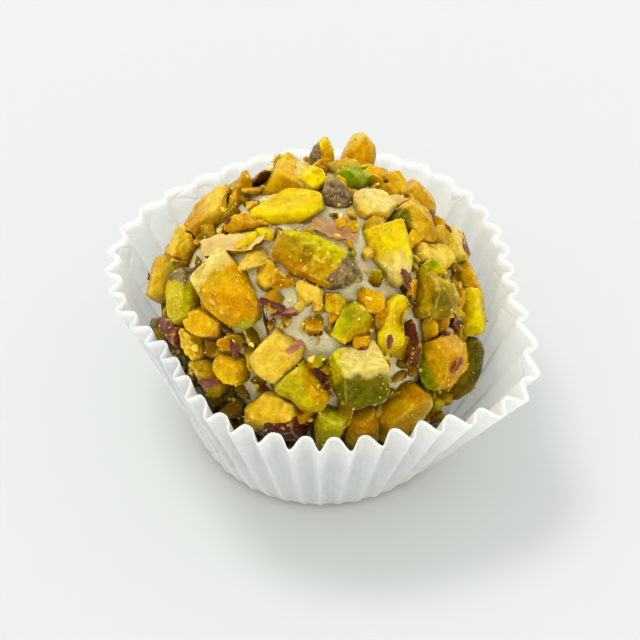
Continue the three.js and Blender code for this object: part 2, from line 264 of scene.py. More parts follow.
BALL_CENTRE = Vector((-0.9, -0.9, 17)) * MM
FILL_OUT = 0.55 * MM             # how far it stands out everywhere to meet the nuts
WELL_UP = 0.7 * MM               # how high it climbs beside a nut
WELL_REACH = 1.1 * MM
# how far from a nut the fudge turns olive-brown: partly nut oil, partly painted shade
OIL_AND_SHADE_REACH = 0.9 * MM


def with_modifiers(piece):
    """A mesh with the piece's modifiers worked into it."""
    settled = piece.evaluated_get(bpy.context.evaluated_depsgraph_get())
    return bpy.data.meshes.new_from_object(settled)


def cage_of(node):
    """A copy of a CAD node's mesh, its loose triangles merged and its flat faces made whole."""
    cage = bmesh.new()
    cage.from_mesh(frame["nodes"][node].data)
    bmesh.ops.remove_doubles(cage, verts=cage.verts, dist=2e-6)
    bmesh.ops.dissolve_limit(
        cage, angle_limit=math.radians(2.5), verts=cage.verts, edges=cage.edges)
    return cage


def positions(mesh):
    """The vertices' places and outward normals as arrays."""
    places = np.empty(len(mesh.vertices) * 3, np.float32)
    normals = np.empty(len(mesh.vertices) * 3, np.float32)
    mesh.vertices.foreach_get("co", places)
    mesh.vertex_normals.foreach_get("vector", normals)
    return places.reshape(-1, 3), normals.reshape(-1, 3)


def grain(places, size, seed):
    """Smooth noise at each place, from about -1 to 1, with swings of the given size."""
    return np.array([noise.noise(Vector(p) / size + Vector((seed, 0, 0))) for p in places])


def mark(mesh, name, values):
    """Keeps a share from 0 to 1 on each vertex, for the material to read."""
    layer = mesh.attributes.new(name, "FLOAT", "POINT")
    layer.data.foreach_set("value", np.clip(values, 0, 1).astype(np.float32))


def reshape(mesh, places):
    """Moves the vertices to new places and lets the faces shade smoothly."""
    mesh.vertices.foreach_set("co", np.asarray(places, np.float32).ravel())
    mesh.polygons.foreach_set("use_smooth", np.ones(len(mesh.polygons), bool))
    mesh.update()


nut_nodes = [name for name in frame["nodes"] if name.startswith("nut_")]
coat = bmesh.new()
for name in nut_nodes:
    coat.from_mesh(frame["nodes"][name].data)
coat_tree = BVHTree.FromBMesh(coat)
coat.free()

fudge_cage = into_scene("fudge_cage", mesh_of("fudge_cage", cage_of("fudge_ball")))
rounding = fudge_cage.modifiers.new("rounding", "SUBSURF")
rounding.levels = rounding.render_levels = 4
fudge_mesh = with_modifiers(fudge_cage)
bpy.data.objects.remove(fudge_cage)

places, normals = positions(fudge_mesh)
reach = np.array([coat_tree.find_nearest(Vector(p))[3] for p in places])
beside = np.clip(1 - reach / WELL_REACH, 0, 1)
rise = FILL_OUT + WELL_UP * beside**2
rise += 0.3 * MM * grain(places, 2.6 * MM, 5) + 0.14 * MM * grain(places, 0.9 * MM, 9)
places = places + normals * rise[:, None]
places[:, 2] = np.maximum(places[:, 2], 0.3 * MM)  # clear of the case's floor
reshape(fudge_mesh, places)
# the mark for the olive-brown beside the nuts: nut oil and painted shade in the cracks
mark(fudge_mesh, "oil_and_shade", 1 - reach / OIL_AND_SHADE_REACH)


def milk_fudge():
    """Milk fudge: a soft cream-white with a waxy gloss, light passing a millimetre into it,
    smears 0.8 mm wide from rolling, and olive-brown where it meets the nuts, partly oil and
    partly painted shade."""
    material, tree, shader, place = new_material("milk_fudge")
    cloud = add_node(tree, "ShaderNodeTexNoise", {
        "Vector": place, "Scale": 1 / (2.4 * MM), "Detail": 3.0})
    cream = add_node(tree, "ShaderNodeMix", {
        0: cloud.outputs["Fac"], 6: colour("#F2ECCA"), 7: colour("#CABC84")}, data_type="RGBA")
    oil_and_shade = add_node(tree, "ShaderNodeAttribute", attribute_name="oil_and_shade").outputs["Fac"]
    ragged = add_node(tree, "ShaderNodeMath", {
        0: cloud.outputs["Fac"], 1: 0.9, 2: oil_and_shade}, operation="MULTIPLY_ADD")
    # olive-brown near the nuts: partly nut oil, partly painted shade in the cracks
    oil_and_darkening = add_node(tree, "ShaderNodeMapRange", {
        "Value": ragged.outputs["Value"], "From Min": 0.7, "From Max": 1.35, "To Max": 0.9},
        interpolation_type="SMOOTHSTEP")
    tint = add_node(tree, "ShaderNodeMix", {
        0: oil_and_darkening.outputs["Result"], 6: cream.outputs[2], 7: colour("#6E5812")}, data_type="RGBA")
    smear = add_node(tree, "ShaderNodeTexNoise", {
        "Vector": place, "Scale": 1 / (0.8 * MM), "Detail": 2.0, "Distortion": 1.2})
    bump = add_node(tree, "ShaderNodeBump", {
        "Height": smear.outputs["Fac"], "Strength": 0.8, "Distance": 0.2 * MM})
    fill_inputs(tree, shader, {
        "Base Color": tint.outputs[2], "Normal": bump.outputs["Normal"], "Roughness": 0.2,
        "Subsurface Weight": 0.45, "Subsurface Radius": (1.3, 1.1, 0.8),
        "Subsurface Scale": 0.7 * MM})
    return material


fudge = piece_of("milk_fudge_ball", fudge_mesh, milk_fudge())
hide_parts("fudge_ball")


# ---- The chopped pistachios
# Roasted pistachio kernels, chopped by hand into pieces of 4 to 11 mm and pressed into the
# fudge. A break is flat, pale and granular. What is left of the kernel's outside is smooth,
# green to amber, and keeps rags of its thin purple-brown skin.

# Each kind of flesh: its usual colour and the deeper one of its hollows.
FLESH = {
    "amber_nut": ("#F4BE04", "#CA8600"),
    "lemon_nut": ("#FFEC00", "#E8C000"),
    "pale_nut": ("#FFE678", "#E8B838"),
    "tan_nut": ("#F8D654", "#D09C10"),
    "orange_nut": ("#EEAC04", "#B87A00"),
    "green_nut": ("#D2C600", "#8C8C00"),
    "olive_nut": ("#CCA804", "#805C00"),
    "skin_nut": ("#824634", "#4C2424"),
}

# Marks on the pieces: what the mark is, the side it lies on as (right, up, near) when the
# sweet is looked at from the front and above, and the share of the piece, measured towards
# that side, where it starts and where it is full.
MARKS = {
    "tall_end": [("toast", (1, -0.7, 0), 0.42, 0.75), ("pale", (-0.7, 0.8, 0), 0.6, 1.05)],
    "small_end": [("husk", (-1, 0, 0.2), 0.5, 0.62), ("toast", (0.3, -0.5, 0.6), -0.3, 0.9),
        ("green", (0.6, -0.3, 0), 0.7, 1)],
    "crown_wedge": [("pale", (1, 0.1, 0), 0.6, 0.64), ("amber", (-1, 0.1, 0.1), 0.42, 0.5),
        ("green", (-1, 0.5, 0), 0.88, 0.94)],
    "green_flake": [("green", (0, 0.3, 1), 0, 0.1), ("pale", (0.2, 1, 0.3), 0.9, 0.96),
        ("lime", (-0.7, -1, 0), 0.82, 0.94)],
    "grey_end": [("husk", (0.4, 0.3, 1), 0.3, 0.6)],
    # lemon_slab: the toast on its underside is painted shade
    "lemon_slab": [("toast", (0.2, -1, 0), 0.74, 0.95)],
    "big_kernel": [("lime", (0.5, 1, 0), 0.64, 0.74), ("husk", (1, -0.5, 0), 0.66, 0.8),
        ("dark", (1, -0.8, -0.3), 0.8, 0.95), ("toast", (-0.6, -1, 0), 0.1, 1.1)],
    "yellow_kernel": [("pale", (0.2, -1, 0.3), 0.4, 0.8)],
    "amber_kernel": [("pale", (-0.6, 1, 0), 0.62, 0.85), ("green", (0.4, -1, 0), 0.85, 1),
        ("toast", (-0.2, -0.2, 1), 0.7, 1.1)],
    "green_cube": [("pale", (0.2, 1, 0.5), 0.54, 0.58), ("lime", (-1, 0, 0), 0.68, 0.8),
        ("dark", (0.1, -1, 0.2), 0.5, 0.66)],
    "orange_lump": [("green", (-1, -0.3, 0), 0.6, 0.9), ("skin", (-0.3, 1, 0), 0.9, 0.94)],
    "front_lump": [("skin", (0.25, -1, 0.1), 0.56, 0.64)],
    "olive_end": [("dark", (0.2, -0.3, 0.8), 0.3, 1.4), ("lime", (0.8, 0.9, 0), 0.75, 1)],
    "green_lump": [("amber", (0.8, 0.6, 0), 0.5, 0.72), ("lime", (-0.2, 1, 0.2), 0.7, 1),
        ("toast", (-0.6, -1, 0), 0.7, 1)],
    "tan_slab": [("toast", (-0.6, -0.2, 0), 0.1, 0.8), ("pale", (0.6, -1, 0), 0.8, 1)],
    "brown_shard": [("toast", (0.3, 0.5, 0), 0.2, 0.7), ("dark", (-1, -0.3, 0), 0.8, 1)],
    "split_kernel": [("dark", (-1, -0.6, 0.3), 0.44, 0.62), ("skin", (-0.4, 1, 0), 0.86, 0.92),
        ("toast", (1, 0.3, 0), 0.6, 1)],
    "tan_cube": [("pale", (0.4, 1, 0.3), 0.2, 0.8), ("toast", (-0.5, -1, 0), 0.7, 1)],
    "green_block": [("husk", (-0.1, 1, 0.2), 0.76, 0.84), ("dark", (0.7, -0.2, 0), 0.6, 1)],
    "left_block": [("toast", (-0.2, -1, 0.1), 0.45, 0.8)],
    "left_slab": [("toast", (-0.5, 0.3, 0), 0.5, 0.95)],
    "green_chip": [("lime", (-1, 0, 0), 0.5, 0.9), ("amber", (0.6, -1, 0), 0.54, 0.7)],
    "right_block": [("skin", (1, 0.2, 0), 0.84, 0.9), ("green", (0, -1, 0), 0.66, 0.9)],
    "right_amber": [("dark", (-0.3, -1, 0), 0.5, 1), ("toast", (0, 1, 0), 0.4, 0.9)],
    "dark_kernel": [("dark", (1, 0.4, 0), -0.3, 1.3), ("husk", (1, 1, 0), 0.7, 1.4)],
    "amber_slab": [("green", (-1, -0.6, 0), 0.7, 1), ("pale", (1, -0.6, 0), 0.82, 1)],
    "olive_oblong": [("lime", (0, -0.2, 1), -0.4, 0), ("pale", (0.4, 0.3, 1), 0, 1.2),
        ("skin", (-1, 0, 0), 0.88, 0.94)],
    "orange_block": [("dark", (0, -1, 0), 0.7, 1)],
    "low_block": [("husk", (0, 1, 0), 0.5, 0.8)],
    "purple_block": [("skin", (0, 1, 0), -0.6, -0.4)],
    "lemon_bone": [("pale", (0, -0.3, 1), 0.4, 1.5)],
    "lemon_block": [("lime", (1, 0.2, 0), 0.8, 1.2)],
}
# The nuts at the back have one or two of these, on sides drawn at random.
USUAL_MARKS = ["pale", "pale", "toast", "toast", "lime", "green", "green", "dark", "husk", "skin"]

# Hollows broken out of the pieces: the side, how far the hollow reaches and how deep, in mm.
HOLLOWS = {
    "lemon_bone": [((1, 0.2, 0.3), 2.0, 1.3), ((-1, 0.1, 0.2), 1.6, 0.5)],
    "amber_kernel": [((0.3, 1, 0.6), 1.8, 0.6)],
    "big_kernel": [((-0.2, -0.6, 0.8), 2.4, 0.5)],
    "front_lump": [((0.9, 0.8, 0.2), 1.8, 0.7)],
    "green_lump": [((0.8, 0.5, 0.6), 1.8, 0.8)],
    "green_cube": [((-0.1, 1, 0.2), 1.2, 0.4)],
    "tan_slab": [((0.8, 0.6, 0.5), 2.0, 0.7)],
    "lemon_curl": [((0.2, 1, 0.5), 1.4, 0.5)],
    "orange_lump": [((-0.3, 0.9, 0.7), 1.5, 0.4)],
    "right_oblong": [((0.3, 1, 0.5), 1.4, 0.6), ((-0.5, -1, 0.3), 1.2, 0.4)],
}

# Further breaks: the side they face, and the share of the piece they leave.
CUTS = {
    "tall_end": [((1, 0.8, 0), 0.88)],
    "lemon_slab": [((-0.6, 1, 0), 0.85), ((0.8, -1, 0.3), 0.86)],
    "brown_shard": [((-0.9, 0.42, 0), 0.76), ((0.96, 0.26, 0), 0.86)],
    "green_flake": [((-0.5, 1, 0), 0.84), ((0.4, -1, 0), 0.88)],
}

# How crumbly the pieces are where they differ from the rest, which are 1.
CRUMBLE = {
    "pale_block": 0.5, "lemon_slab": 0.5, "green_cube": 0.6, "tall_end": 0.6,
    "crown_wedge": 0.6, "green_flake": 0.6, "amber_slab": 0.6, "amber_kernel": 0.7,
    "yellow_kernel": 0.7, "lemon_block": 0.7, "olive_oblong": 0.7, "brown_shard": 0.8,
    "front_lump": 1.2, "lemon_bone": 1.2, "split_kernel": 1.2, "orange_lump": 1.3,
    "tan_chip": 1.6, "left_block": 1.8, "tan_stick": 1.8, "olive_end": 1.8, "big_kernel": 2.4,
}

RIGHT = Vector((1, 0, 0))
UP = Vector((0, math.sqrt(0.5), math.sqrt(0.5)))
NEAR = Vector((0, -math.sqrt(0.5), math.sqrt(0.5)))
BREAK_SHARE = 0.055              # a face larger than this share of the surface is a break
NUT_CELL = 0.17 * MM             # spacing of the finished mesh
SPECK = 12                       # a loose cell has fewer corners than this
MOST_SWELL = 0.34 * MM           # a piece swells no further, so that neighbours only touch
UNDER_TOP = 0.02 * MM            # the coat ends this far below the top of the solids


def direction(side):
    """The direction of a side that is given as (right, up, near)."""
    return (side[0] * RIGHT + side[1] * UP + side[2] * NEAR).normalized()


def pistachio(name, flesh, hollow):
    """Pistachio flesh: waxy, dense and slightly translucent, with a 0.5 mm grain that is
    coarse on a break, and specks of 0.2 mm, the pale ones partly painted glints. It toasts from
    yellow to orange-brown, is green near the outside and carries papery purple-brown skin.
    Painted highlights pale its sharp edges, and painted shade darkens its creases and the deep
    gaps between the nuts."""
    material, tree, shader, place = new_material(name)
    mottle = add_node(tree, "ShaderNodeTexNoise", {
        "Vector": place, "Scale": 1 / (1.6 * MM), "Detail": 5.0, "Roughness": 0.65}).outputs["Fac"]
    share = add_node(tree, "ShaderNodeMapRange", {
        "Value": mottle, "From Min": 0.35, "From Max": 0.68}).outputs["Result"]
    tint = add_node(tree, "ShaderNodeMix", {
        0: share, 6: colour(flesh), 7: colour(hollow)}, data_type="RGBA").outputs[2]
    streak = add_node(tree, "ShaderNodeTexNoise", {
        "Vector": place, "Scale": 1 / (0.7 * MM), "Detail": 3.0,
        "Distortion": 0.6}).outputs["Fac"]
    streaky = add_node(tree, "ShaderNodeMapRange", {
        "Value": streak, "From Min": 0.36, "From Max": 0.7}).outputs["Result"]
    # What lies on the flesh: its name as a mark, its usual and its worn colour, the share
    # of the mark where it starts and is full, and how much of it covers the flesh then.
    layers = [
        ("broken", "#FBDC54", "#EEB81C", 0.35, 1.0, 0.42),
        ("pale", "#FBEA98", "#F0D074", 0.2, 0.95, 0.88),
        ("amber", "#F8C60C", "#DE9C00", 0.2, 0.95, 0.9),
        ("toast", "#DC9600", "#AE7000", 0.2, 1.1, 0.8),
        ("lime", "#EADC1C", "#B8B000", 0.2, 0.95, 0.9),
        ("green", "#A2BC10", "#588A0C", 0.2, 0.95, 0.92),
        ("dark", "#6E7008", "#3C440C", 0.3, 0.85, 0.92),
        ("husk", "#5E4A38", "#B09A7A", 0.3, 0.75, 0.95),
    ]

    def laid_over(tint, name, usual, worn, start, full, most):
        """Lays one of them over the tint so far, with an edge made ragged by the mottle."""
        kept = add_node(tree, "ShaderNodeAttribute", attribute_name=name).outputs["Fac"]
        ragged = add_node(tree, "ShaderNodeMath", {
            0: mottle, 1: 0.7, 2: kept}, operation="MULTIPLY_ADD")
        cover = add_node(tree, "ShaderNodeMapRange", {
            "Value": ragged.outputs["Value"], "From Min": start + 0.35,
            "From Max": full + 0.35, "To Max": most},
            interpolation_type="SMOOTHSTEP").outputs["Result"]
        layer = add_node(tree, "ShaderNodeMix", {
            0: streaky, 6: colour(usual), 7: colour(worn)}, data_type="RGBA").outputs[2]
        return add_node(tree, "ShaderNodeMix", {
            0: cover, 6: tint, 7: layer}, data_type="RGBA").outputs[2]

    for layer in layers:
        tint = laid_over(tint, *layer)
    stain = add_node(tree, "ShaderNodeTexNoise", {
        "Vector": place, "Scale": 1 / (2.4 * MM), "Detail": 4.0, "Roughness": 0.6,
        "Distortion": 0.4}).outputs["Fac"]
    stained = add_node(tree, "ShaderNodeMapRange", {
        "Value": stain, "From Min": 0.5, "From Max": 0.68, "To Max": 0.38}).outputs["Result"]
    tint = add_node(tree, "ShaderNodeMix", {
        0: stained, 6: tint, 7: colour("#A08000")}, data_type="RGBA").outputs[2]
    tint = laid_over(tint, "skin", "#4E222C", "#964E48", 0.38, 0.66, 1.0)
    wobble = add_node(tree, "ShaderNodeTexNoise", {
        "Vector": place, "Scale": 1 / (0.8 * MM), "Detail": 1.0})
    bent = add_node(tree, "ShaderNodeVectorMath", {
        0: wobble.outputs["Color"], 1: (0.5 * MM,) * 3, 2: place}, operation="MULTIPLY_ADD")
    grains = add_node(tree, "ShaderNodeTexVoronoi", {
        "Vector": bent.outputs[0], "Scale": 1 / (0.5 * MM)})
    shade = add_node(tree, "ShaderNodeMapRange", {
        "Value": grains.outputs["Color"], "From Min": 0.2, "From Max": 0.8,
        "To Min": 0.71, "To Max": 0.87})
    tint = add_node(tree, "ShaderNodeHueSaturation", {
        "Saturation": 1.03, "Value": shade.outputs["Result"], "Color": tint}).outputs["Color"]
    speck = add_node(tree, "ShaderNodeTexNoise", {
        "Vector": place, "Scale": 1 / (0.22 * MM), "Detail": 1.0}).outputs["Fac"]
    bend = add_node(tree, "ShaderNodeNewGeometry").outputs["Pointiness"]
    painted_shade_depth = add_node(tree, "ShaderNodeVectorMath", {
        0: place, 1: BALL_CENTRE}, operation="DISTANCE").outputs["Value"]
    # Pale specks, partly dust and partly painted glints; dull specks; painted highlights on sharp
    # edges; painted shade in creases and deep down between the nuts: what is read, where the colour
    # starts and is full, and how much of it there is.
    for value, start, full, most, code, edge in [
            # pale specks: partly dust, partly painted glints
            (speck, 0.7, 0.78, 0.5, "#FBEC98", "LINEAR"),
            (speck, 0.32, 0.24, 0.35, "#8A5E0A", "LINEAR"),
            # painted highlight on sharp edges, then painted shade in creases
            (bend, 0.52, 0.6, 0.45, "#FFE674", "LINEAR"),
            (bend, 0.49, 0.43, 0.5, "#9A6400", "LINEAR"),
            # painted shade: darker the nearer the ball's centre, deep in the gaps between the nuts
            (painted_shade_depth, 17.8 * MM, 16.3 * MM, 0.68, "#563C04", "SMOOTHSTEP")]:
        share = add_node(tree, "ShaderNodeMapRange", {
            "Value": value, "From Min": start, "From Max": full, "To Max": most},
            interpolation_type=edge).outputs["Result"]
        tint = add_node(tree, "ShaderNodeMix", {
            0: share, 6: tint, 7: colour(code)}, data_type="RGBA").outputs[2]
    rough = add_node(tree, "ShaderNodeMapRange", {
        "Value": mottle, "From Min": 0.3, "From Max": 0.7,
        "To Min": 0.26, "To Max": 0.44}).outputs["Result"]
    broken = add_node(tree, "ShaderNodeAttribute", attribute_name="broken").outputs["Fac"]
    swell = add_node(tree, "ShaderNodeMath", {
        0: broken, 1: -0.9, 2: -0.3}, operation="MULTIPLY_ADD").outputs["Value"]
    height = add_node(tree, "ShaderNodeMath", {
        0: grains.outputs["Distance"], 1: swell, 2: speck}, operation="MULTIPLY_ADD")
    bump = add_node(tree, "ShaderNodeBump", {
        "Height": height.outputs["Value"], "Strength": 0.4, "Distance": 0.1 * MM})
    fill_inputs(tree, shader, {
        "Base Color": tint, "Roughness": rough, "Normal": bump.outputs["Normal"],
        "Specular IOR Level": 0.3, "Specular Tint": colour("#FFD868"),
        "Subsurface Weight": 0.3, "Subsurface Radius": (1, 0.8, 0.3),
        "Subsurface Scale": 0.4 * MM})
    return material


nut_materials = {
    slot: pistachio("pistachio_" + slot[:-4], *pair) for slot, pair in FLESH.items()}
slot_of = {part["node"]: part["material_slot"] for part in frame["record"]["subparts"]}


def kernel_cage(node):
    """The CAD piece with its break edges held crisp, its rounded sides left to soften, and a
    note of which faces are breaks."""
    cage = cage_of(node)
    whole = sum(face.calc_area() for face in cage.faces)
    breaks = {face for face in cage.faces if face.calc_area() > BREAK_SHARE * whole}
    crease = cage.edges.layers.float.new("crease_edge")
    for edge in cage.edges:
        if len(edge.link_faces) == 2 and breaks & set(edge.link_faces):
            if edge.calc_face_angle(0) > math.radians(20):
                edge[crease] = 1
    flat = BVHTree.FromBMesh(cage)
    is_break = [face in breaks for face in cage.faces]
    return cage, flat, is_break


def grit(places, size, seed):
    """Rounded grains of the given size with sharp valleys between them, from about -1 to 1."""
    return np.array([-noise.noise(Vector(p) / size + Vector((seed, 0, 0)), noise_basis="VORONOI_F1")
                     for p in places])


def without_specks(mesh):
    """Takes out the single loose cells that evening a mesh leaves beside a thin edge."""
    net = bmesh.new()
    net.from_mesh(mesh)
    specks = set()
    for start in net.verts:
        if len(start.link_edges) == 3:
            found, fresh = {start}, [start]
            while fresh and len(found) < SPECK:
                vert = fresh.pop()
                linked = {edge.other_vert(vert) for edge in vert.link_edges} - found
                found |= linked
                fresh += linked
            if not fresh:
                specks |= found
    bmesh.ops.delete(net, geom=list(specks), context="VERTS")
    net.to_mesh(mesh)
    net.free()
    return mesh


def even_out(piece, cell):
    """Remakes the mesh in even cells, and makes pieces that overlap into one."""
    even = piece.modifiers.new("even", "REMESH")
    even.mode = "VOXEL"
    even.voxel_size = cell


cages = {}
for node in nut_nodes:
    cage, flat, is_break = kernel_cage(node)
    piece = into_scene(node + "_cage", mesh_of(node + "_cage", cage))
    rounding = piece.modifiers.new("rounding", "SUBSURF")
    rounding.levels = rounding.render_levels = 2
    even_out(piece, NUT_CELL)
    cages[node] = (piece, flat, is_break)

chance = random.Random(20)
mark_chance = random.Random(4)


def any_way():
    """A direction drawn at random."""
    return Vector([chance.gauss(0, 1) for _ in range(3)]).normalized()


pistachio_pieces = []
for number, (node, (cage_piece, flat, is_break)) in enumerate(cages.items()):
    name = node[4:]
    mesh = without_specks(with_modifiers(cage_piece))
    places, normals = positions(mesh)
    nearest = [flat.find_nearest(Vector(p)) for p in places]
    broken = np.array([is_break[hit[2]] for hit in nearest], float)
    middle = places.mean(0)
    # The breaks go back almost to the solid's flat faces, the rounded sides less so.
    faces = np.array([hit[0] for hit in nearest])
    places = places + (faces - places) * (0.72 + 0.23 * broken)[:, None]
    # Breaks: those listed, then small ones on sides drawn at random.
    rough = CRUMBLE.get(name, 1)
    cuts = [(direction(side), 1 - kept) for side, kept in CUTS.get(name, [])]
    for _ in range(6 if rough > 0.7 else 2):
        cuts.append((any_way(), chance.uniform(0.03, 0.08)))
    for way, loss in cuts:
        along = (places - middle) @ np.array(way)
        over = along - along.max() + loss * np.ptp(along)
        places = places - np.maximum(over, 0)[:, None] * np.array(way)
        broken = np.maximum(broken, np.clip(over / (0.1 * MM), 0, 1))
    # Lumps, then ledges where it broke in layers, then the crumbly grain.
    swell = 0.12 * MM + 0.11 * MM * grain(places, 2.4 * MM, number)
    layers = 2.5 * grain(places, 1.7 * MM, number + 20)
    ledges = np.floor(layers) + np.clip((layers - np.floor(layers) - 0.6) / 0.4, 0, 1)
    swell += 0.07 * MM * (0.4 + 0.6 * broken) * np.clip(ledges, -2, 2) * min(rough, 1.5)
    swell += rough * (0.03 + 0.02 * broken) * MM * grain(places, 0.95 * MM, number + 40)
    swell += rough * (0.02 + 0.06 * broken) * MM * grit(places, 0.75 * MM, number + 80)
    if rough > 1.2:
        swell -= 0.25 * rough * MM * np.maximum(grain(places, 1.5 * MM, number + 160), 0)
    swell = np.minimum(swell, MOST_SWELL)
    for side, wide, deep in HOLLOWS.get(name, []):
        way = np.array(direction(side))
        along = (places - middle) @ way
        mouth = middle + way * along.max()
        near = np.exp(-((np.linalg.norm(places - mouth, axis=1) / (wide * MM)) ** 2))
        swell -= deep * MM * near
    places = places + normals * swell[:, None]
    places[:, 2] = np.minimum(places[:, 2], cad_box[1][2] - UNDER_TOP)
    reshape(mesh, places)
    mark(mesh, "broken", broken * (0.2 if slot_of[node] == "skin_nut" else 1))
    # The marks, each with an edge that wanders by a tenth of the piece.
    wander = 0.1 * grain(places, 1.3 * MM, number + 120)
    marks = MARKS.get(name, [])
    for _ in range(mark_chance.randint(1, 2) if name.startswith("back") else 0):
        start = mark_chance.uniform(0.55, 0.85)
        side = [mark_chance.gauss(0, 1) for _ in range(3)]
        marks = marks + [(mark_chance.choice(USUAL_MARKS), side, start, start + 0.12)]
    for kind in ("pale", "amber", "toast", "lime", "green", "dark", "husk", "skin"):
        cover = np.zeros(len(places))
        for its_kind, side, start, full in marks:
            if its_kind == kind:
                along = (places - middle) @ np.array(direction(side))
                along = (along - along.min()) / (along.max() - along.min()) + wander
                soft = 0.02 if kind == "skin" else 0.05
                part = np.clip((along - start + soft) / (full - start + 2 * soft), 0, 1)
                cover = np.maximum(cover, part * part * (3 - 2 * part))
        if cover.any():
            mark(mesh, kind, cover)
    slot = slot_of[node]
    piece = piece_of("pistachio_" + name, mesh, nut_materials[slot])
    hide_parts(node)
    pistachio_pieces.append(piece)
    bpy.data.objects.remove(cage_piece)


# ---- The fine chopped nuts
# The small pieces that a knife leaves, 1 to 5 mm long, with flat breaks all round and scraps
# of green and of skin. They fill the gaps between the large pieces and are half sunk in the
# fudge, which holds them.

# The ones that stand out: flesh, azimuth and latitude on the ball, length, width and height
# in mm, and the turn of the length from due east.
SMALL_PIECES = [
    ("tan_nut", 219, 5, (2.6, 2.2, 3), 0),
    ("lemon_nut", 226, -5, (2.8, 2.2, 3.4), 137),
    ("tan_nut", 237, -4, (3.2, 2.6, 3.8), 103),
    ("amber_nut", 49, 55, (2.6, 2.3, 2.6), 112),
    ("amber_nut", 39, 48, (2.2, 2, 2.6), 0),
    ("lemon_nut", 344, 39, (3, 1.8, 2), 138),
    ("skin_nut", 339, 17, (2.4, 2.4, 2.2), 0),
    ("amber_nut", 331, -20, (3.5, 2, 1.4), 20),
    ("olive_nut", 328, -13, (2.5, 1.6, 2), 30),
    ("orange_nut", 315, -20, (2.5, 2, 2), 0),
    ("amber_nut", 299, 48, (3.1, 2.3, 2), 128),
    ("lemon_nut", 93, 78, (3.2, 2.3, 2.4), 54),
    ("orange_nut", 195, 66, (4.5, 1.8, 2), 66),
    ("lemon_nut", 280, 48, (2.3, 2.1, 2), 0),
    ("amber_nut", 269, 41, (2.2, 1.8, 1.6), 40),
    ("pale_nut", 177, 6, (1.7, 1, 1.2), 60),
    ("tan_nut", 227, 21, (2, 1.2, 1.4), 30),
    ("pale_nut", 239, 19, (1.9, 1.2, 1.4), 35),
    ("pale_nut", 272, 51, (1.8, 1.5, 1.5), 80),
    ("green_nut", 269, 27, (3.2, 1.2, 1.4), 34),
    ("skin_nut", 310, 23, (5.4, 1.9, 2.4), 56),
    ("skin_nut", 197, 10, (3.4, 2.6, 2.4), 30),
]
CHIPS = 400                      # put in at random besides, if that many find room
MOST_TRIES = 20000
CHIP_SPANS = (1.5, 4)            # mm
CHIP_CELL = 0.15 * MM
LOWEST = -0.6                    # height of the lowest place on the ball, as a share of it
FUDGE_REACH = 16.6 * MM          # the fudge's radius, more or less
FAR_OUT = 40                     # mm, a radius outside everything
# Where the fudge shows bare: azimuth and latitude.
BARE_FUDGE = [
    (241, 13), (208, 37), (263, 40), (291, 49), (273, 34), (318, 30), (315, 46), (30, 58),
    (9, 78), (122, 44), (127, 36), (116, 37), (296, 74), (284, 68)]
# How often the drawn pieces are of each flesh.
CHIP_FLESH = ["amber_nut"] * 5 + ["lemon_nut"] * 2 + ["pale_nut"] * 2 + ["tan_nut"] * 3 + [
    "orange_nut"] * 3 + ["green_nut"] + ["olive_nut"] * 5 + ["skin_nut"]


def on_ball(azimuth, latitude):
    """The outward direction at an azimuth and latitude in degrees."""
    a, l = math.radians(azimuth), math.radians(latitude)
    return Vector((math.cos(l) * math.cos(a), math.cos(l) * math.sin(a), math.sin(l)))


def stand_on(out, turn, place):
    """The place of a piece that lies flat with its height along out."""
    east = Vector((0, 0, 1)).cross(out)
    east = east.normalized() if east.length > 1e-3 else Vector((1, 0, 0))
    north = out.cross(east)
    seat = Matrix((east, north, out)).transposed().to_4x4()
    return Matrix.Translation(place) @ seat @ Matrix.Rotation(turn, 4, "Z")


def join(part, whole):
    """Adds a finished part to the whole. Each part is shaped alone, since work on a large
    mesh is slow."""
    together = mesh_of("part", part)
    whole.from_mesh(together)
    bpy.data.meshes.remove(together)


def chip(batch, size, seat):
    """Breaks one small piece: a rounded lump with seven to eleven flat breaks."""
    lump = bmesh.new()
    bmesh.ops.create_icosphere(lump, subdivisions=2, radius=0.62)
    for _ in range(chance.randint(7, 11)):
        way = any_way()
        cut = bmesh.ops.bisect_plane(
            lump, geom=lump.verts[:] + lump.edges[:] + lump.faces[:], dist=1e-5,
            plane_co=way * chance.uniform(0.18, 0.44), plane_no=way, clear_outer=True)
        rim = [part for part in cut["geom_cut"] if isinstance(part, bmesh.types.BMEdge)]
        if rim:
            bmesh.ops.contextual_create(lump, geom=rim)
    stretch = Matrix.Diagonal((*[length * 1.2 for length in size], 1))
    bmesh.ops.transform(lump, matrix=seat @ stretch, verts=lump.verts)
    bmesh.ops.recalc_face_normals(lump, faces=lump.faces)
    join(lump, batch)


def tree_of(pieces):
    """The pieces' surfaces, for finding what lies nearest or is struck first."""
    whole = bmesh.new()
    for piece in pieces:
        whole.from_mesh(piece.data)
    tree = BVHTree.FromBMesh(whole)
    whole.free()
    return tree


nut_tree = tree_of(pistachio_pieces)
fudge_tree = tree_of([fudge])
paper_tree = tree_of([pleated_paper])
batches = {slot: bmesh.new() for slot in FLESH}


def surface(tree, out):
    """Where the line from far outside to the ball's centre meets the pieces."""
    return tree.ray_cast(BALL_CENTRE + out * FAR_OUT * MM, -out, FAR_OUT * MM)


def inside_paper(size, place):
    """The size in metres, made smaller where the paper is near."""
    room = paper_tree.find_nearest(place)[3]
    return [min(length, 0.68 * room) for length in size]


for slot, azimuth, latitude, size, turn in SMALL_PIECES:
    out = on_ball(azimuth, latitude)
    ground = surface(fudge_tree, out)[0]
    size = inside_paper([length * MM for length in size], ground)
    seat = stand_on(out, math.radians(turn), ground + out * size[2] * 0.45)
    chip(batches[slot], size, seat)

